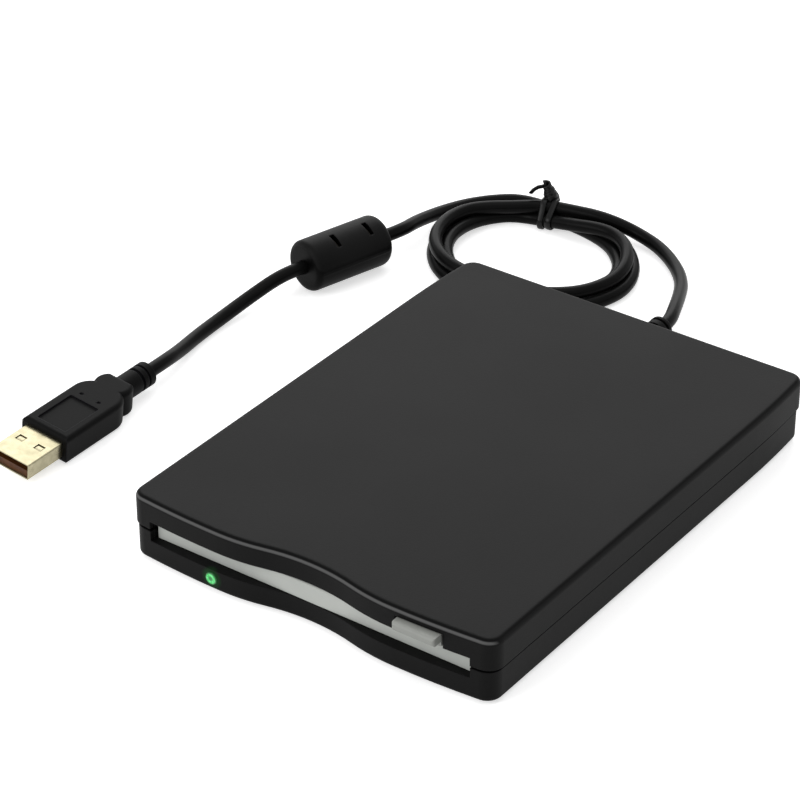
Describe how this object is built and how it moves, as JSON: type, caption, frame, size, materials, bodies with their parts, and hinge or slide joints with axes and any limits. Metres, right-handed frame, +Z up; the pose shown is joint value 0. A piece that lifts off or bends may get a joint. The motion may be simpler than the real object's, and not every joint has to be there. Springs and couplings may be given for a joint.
{
  "type": "external floppy disk drive",
  "caption": "Flat black disk drive in a wavy-fronted case with a flap in its disk slot, an eject button, and a tied cord with a moulded bead and a square plug.",
  "frame": {"origin": "middle of the case seen from above, on the surface that its feet stand on", "axes": "+Z up; the front with the disk slot faces -Y; +X to the right seen from the front; the cord leaves the back, +Y"},
  "size_m": [0.1581, 0.2096, 0.018],
  "materials": {
    "case_plastic": "fine-textured ABS",
    "slot_plastic": "satin light grey",
    "button_plastic": "satin light grey",
    "window_plastic": "clear green",
    "foot_rubber": "matte",
    "screw_steel": "black-zinc plated",
    "sheet_steel": "bright zinc plated sheet",
    "spring_steel": "drawn wire",
    "board_laminate": "solder mask",
    "chip_plastic": "moulded epoxy",
    "header_plastic": "natural nylon",
    "bearing_brass": "sintered",
    "core_steel": "stamped laminations",
    "copper_wire": "enamelled copper",
    "rotor_steel": "pressed and plated",
    "magnet_ferrite": "sintered ferrite",
    "motor_steel": "plated can",
    "rod_steel": "ground",
    "carriage_plastic": "glass filled",
    "head_ceramic": "polished",
    "ribbon_film": "polyimide film",
    "sensor_plastic": "moulded",
    "switch_plastic": "moulded",
    "plunger_plastic": "acetal",
    "lamp_plastic": "tinted epoxy",
    "cord_vinyl": "soft vinyl, satin",
    "relief_vinyl": "soft vinyl, satin",
    "bead_vinyl": "moulded vinyl",
    "plug_vinyl": "moulded vinyl",
    "shell_steel": "nickel plated",
    "tongue_plastic": "dark nylon",
    "contact_gold": "gold plated",
    "tie_vinyl": "vinyl over wire"
  },
  "bodies": {
    "base": {"upper_shell": "case_plastic", "lower_shell": "case_plastic", "foot_left_front": "foot_rubber", "foot_left_back": "foot_rubber", "foot_right_front": "foot_rubber", "foot_right_back": "foot_rubber", "case_screw_left": "screw_steel", "case_screw_right": "screw_steel", "tray_screw_left_front": "screw_steel", "tray_screw_left_back": "screw_steel", "tray_screw_right_front": "screw_steel", "tray_screw_right_back": "screw_steel", "status_window": "window_plastic", "status_lamp": "lamp_plastic", "chassis_tray": "sheet_steel", "top_cover": "sheet_steel", "control_board": "board_laminate", "controller_chip": "chip_plastic", "usb_board": "board_laminate", "bridge_chip": "chip_plastic", "cord_header": "header_plastic", "spindle_bearing": "bearing_brass", "stator_core": "core_steel", "stator_windings": "copper_wire", "stepper_motor": "motor_steel", "guide_rod_left": "rod_steel", "guide_rod_right": "rod_steel", "head_ribbon": "ribbon_film", "track_sensor": "sensor_plastic", "slide_spring_left": "spring_steel", "slide_spring_right": "spring_steel", "protect_switch": "switch_plastic", "media_switch": "switch_plastic", "cable_gland": "relief_vinyl", "cord_tail": "cord_vinyl", "cord_coil": "cord_vinyl", "cord_lead": "cord_vinyl", "bead_moulding": "bead_vinyl", "ferrite_core": "magnet_ferrite", "cord_run": "cord_vinyl", "plug_moulding": "plug_vinyl", "plug_shell": "shell_steel", "plug_tongue": "tongue_plastic", "plug_contacts": "contact_gold", "twist_tie": "tie_vinyl"},
    "flap": {"dust_flap": "slot_plastic"},
    "slide": {"slide_plate": "sheet_steel", "eject_button": "button_plastic"},
    "holder": {"disk_holder": "sheet_steel"},
    "lever": {"shutter_lever": "sheet_steel"},
    "carriage": {"head_carriage": "carriage_plastic", "lower_head": "head_ceramic"},
    "arm": {"upper_head_arm": "sheet_steel", "upper_head": "head_ceramic"},
    "screw": {"lead_screw": "rod_steel"},
    "rotor": {"spindle_rotor": "rotor_steel", "rotor_magnet": "magnet_ferrite"},
    "protect_key": {"protect_plunger": "plunger_plastic"},
    "media_key": {"media_plunger": "plunger_plastic"}
  },
  "joints": [
    {"name": "flap_hinge", "type": "hinge", "parent": "base", "child": "flap", "pos_m": [0, -0.06715, 0.011], "axis": [1, 0, 0], "range_deg": [0, 90], "stiffness_Nm_per_rad": 0.0008, "springref_deg": -8.59},
    {"name": "slide_travel", "type": "slide", "parent": "base", "child": "slide", "axis": [0, 1, 0], "range_m": [-0.0045, 0], "deforming": ["slide_spring_left", "slide_spring_right"]},
    {"name": "holder_drop", "type": "slide", "parent": "base", "child": "holder", "axis": [0, 0, 1], "range_m": [-0.0017, 0]},
    {"name": "lever_pivot", "type": "hinge", "parent": "holder", "child": "lever", "pos_m": [-0.034, 0.03, 0.012], "axis": [0, 0, 1], "range_deg": [0, 58]},
    {"name": "carriage_travel", "type": "slide", "parent": "base", "child": "carriage", "axis": [0, 1, 0], "range_m": [-0.0148, 0], "deforming": ["head_ribbon"]},
    {"name": "head_arm_pivot", "type": "hinge", "parent": "carriage", "child": "arm", "pos_m": [0, 0.0562, 0.011], "axis": [1, 0, 0], "range_deg": [0, 6.45]},
    {"name": "lead_screw_turn", "type": "hinge", "parent": "base", "child": "screw", "pos_m": [0.0195, 0.053, 0.0095], "axis": [0, 1, 0], "range_deg": [0, 1777]},
    {"name": "spindle_turn", "type": "hinge", "parent": "base", "child": "rotor", "pos_m": [0, -0.016, 0.005], "axis": [0, 0, 1], "continuous": true},
    {"name": "protect_press", "type": "slide", "parent": "base", "child": "protect_key", "axis": [0, 0, 1], "range_m": [-0.0006, 0], "stiffness_N_per_m": 300, "springref_m": 0.0005},
    {"name": "media_press", "type": "slide", "parent": "base", "child": "media_key", "axis": [0, 0, 1], "range_m": [-0.0006, 0], "stiffness_N_per_m": 300, "springref_m": 0.0005}
  ],
  "couplings": [
    {"joint": "holder_drop", "follows": "slide_travel", "ratio": 0.37777},
    {"joint": "lever_pivot", "follows": "slide_travel", "rad_per_m": -224.9},
    {"joint": "head_arm_pivot", "follows": "slide_travel", "rad_per_m": -25},
    {"joint": "lead_screw_turn", "follows": "carriage_travel", "rad_per_m": -2094.4}
  ]
}
